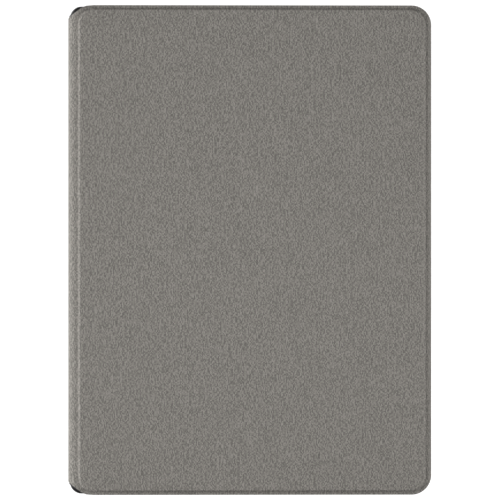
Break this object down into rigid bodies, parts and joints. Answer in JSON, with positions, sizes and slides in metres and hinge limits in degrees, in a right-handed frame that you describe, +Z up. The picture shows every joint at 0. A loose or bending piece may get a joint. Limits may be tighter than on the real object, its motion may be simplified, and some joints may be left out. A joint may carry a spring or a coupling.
{
  "type": "tablet folio case",
  "caption": "Book-style folio case for a tablet: woven fabric covers with a folding spine and a hard tray with corner lips and side buttons.",
  "frame": {"origin": "centre of the bounding box at the bottom edge, with the closed case standing on its bottom edge", "axes": "+X to the right, away from the spine; +Y to the back; +Z up along the spine; the front cover faces -Y"},
  "size_m": [0.1834, 0.0144, 0.247],
  "materials": {
    "cover_fabric": "woven, matte",
    "lining_fabric": "brushed microfibre",
    "stiff_board": "pressed grey board",
    "tray_plastic": "fine moulded texture",
    "button_plastic": "smooth satin",
    "ring_plastic": "polished",
    "adhesive": "matte film",
    "film_plastic": "thin film",
    "magnet_nickel": "nickel plated"
  },
  "bodies": {
    "back_panel": {"tray_frame": "tray_plastic", "tray_plate": "tray_plastic", "tray_pad": "lining_fabric", "tray_magnets": "magnet_nickel", "adhesive_sheet": "adhesive", "back_lining": "lining_fabric", "back_board": "stiff_board", "back_fabric": "cover_fabric", "camera_ring": "ring_plastic"},
    "spine": {"spine_fabric": "cover_fabric", "spine_stiffener": "film_plastic", "spine_lining": "lining_fabric", "front_fold_strip": "cover_fabric", "back_fold_strip": "cover_fabric"},
    "front_cover": {"front_fabric": "cover_fabric", "front_board": "stiff_board", "front_lining": "lining_fabric", "closure_magnets": "magnet_nickel", "wake_magnet": "magnet_nickel"},
    "power_button": {"power_button": "button_plastic"},
    "volume_up_button": {"volume_up_button": "button_plastic"},
    "volume_down_button": {"volume_down_button": "button_plastic"}
  },
  "joints": [
    {"name": "spine_fold", "type": "hinge", "parent": "back_panel", "child": "spine", "pos_m": [-0.0903, 0.0046, 0.1235], "axis": [0, 0, -1], "range_deg": [0, 175], "deforming": ["back_fold_strip"]},
    {"name": "cover_fold", "type": "hinge", "parent": "spine", "child": "front_cover", "pos_m": [-0.0903, -0.0046, 0.1235], "axis": [0, 0, -1], "range_deg": [0, 175], "deforming": ["front_fold_strip"]},
    {"name": "power_press", "type": "slide", "parent": "back_panel", "child": "power_button", "axis": [0, 0, -1], "range_m": [0, 0.0005], "stiffness_N_per_m": 800},
    {"name": "volume_up_press", "type": "slide", "parent": "back_panel", "child": "volume_up_button", "axis": [-1, 0, 0], "range_m": [0, 0.0005], "stiffness_N_per_m": 800},
    {"name": "volume_down_press", "type": "slide", "parent": "back_panel", "child": "volume_down_button", "axis": [-1, 0, 0], "range_m": [0, 0.0005], "stiffness_N_per_m": 800}
  ]
}
